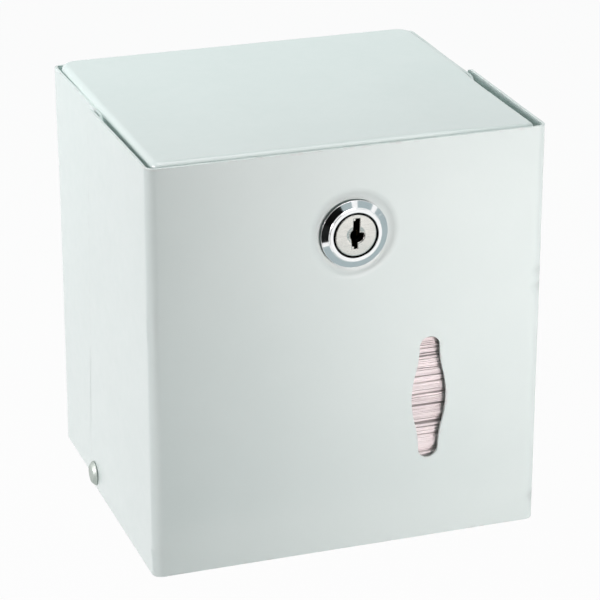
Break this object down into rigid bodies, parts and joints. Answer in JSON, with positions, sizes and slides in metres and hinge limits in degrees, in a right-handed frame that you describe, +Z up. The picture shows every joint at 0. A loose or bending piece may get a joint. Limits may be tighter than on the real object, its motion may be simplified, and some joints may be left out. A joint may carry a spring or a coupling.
{
  "type": "toilet paper dispenser",
  "caption": "Wall-mounted box dispenser for folded toilet paper, with a key lock and a sight window in its fold-down front cover and a dispensing opening underneath.",
  "frame": {"origin": "centre of the four wall screw holes, on the back face that lies against the wall", "axes": "+Z up, -Y out of the front, +X to the right seen from the front"},
  "size_m": [0.1382, 0.1198, 0.1422],
  "materials": {
    "painted_steel": "off-white powder coat, satin",
    "lock_chrome": "polished chrome plate",
    "lock_nickel": "satin nickel plate",
    "lock_brass": "stamped, unpolished",
    "zinc_plate": "bright zinc plate",
    "rivet_steel": "plain steel, satin",
    "nylon": "natural nylon",
    "paper": "soft tissue with a slight pinkish grey cast"
  },
  "bodies": {
    "housing": {"wall_housing": "painted_steel", "top_plate": "painted_steel", "paper_tray": "painted_steel", "latch_keeper": "painted_steel", "left_hinge_rivet": "rivet_steel", "right_hinge_rivet": "rivet_steel", "left_hinge_spacer": "nylon", "right_hinge_spacer": "nylon", "left_hinge_washer": "zinc_plate", "right_hinge_washer": "zinc_plate", "paper_stack": "paper"},
    "cover": {"front_cover": "painted_steel", "lock_barrel": "lock_chrome", "lock_washer": "zinc_plate", "lock_nut": "zinc_plate"},
    "lock_core": {"lock_plug": "lock_nickel", "plug_wafers": "lock_brass", "lock_stop_plate": "zinc_plate", "lock_cam": "zinc_plate", "cam_spring_washer": "zinc_plate", "cam_screw": "zinc_plate"}
  },
  "joints": [
    {"name": "cover_hinge", "type": "hinge", "parent": "housing", "child": "cover", "pos_m": [0, -0.045, -0.0653], "axis": [1, 0, 0], "range_deg": [0, 120]},
    {"name": "lock_turn", "type": "hinge", "parent": "cover", "child": "lock_core", "pos_m": [0.001, -0.108, 0.0413], "axis": [0, 1, 0], "range_deg": [0, 90]}
  ]
}
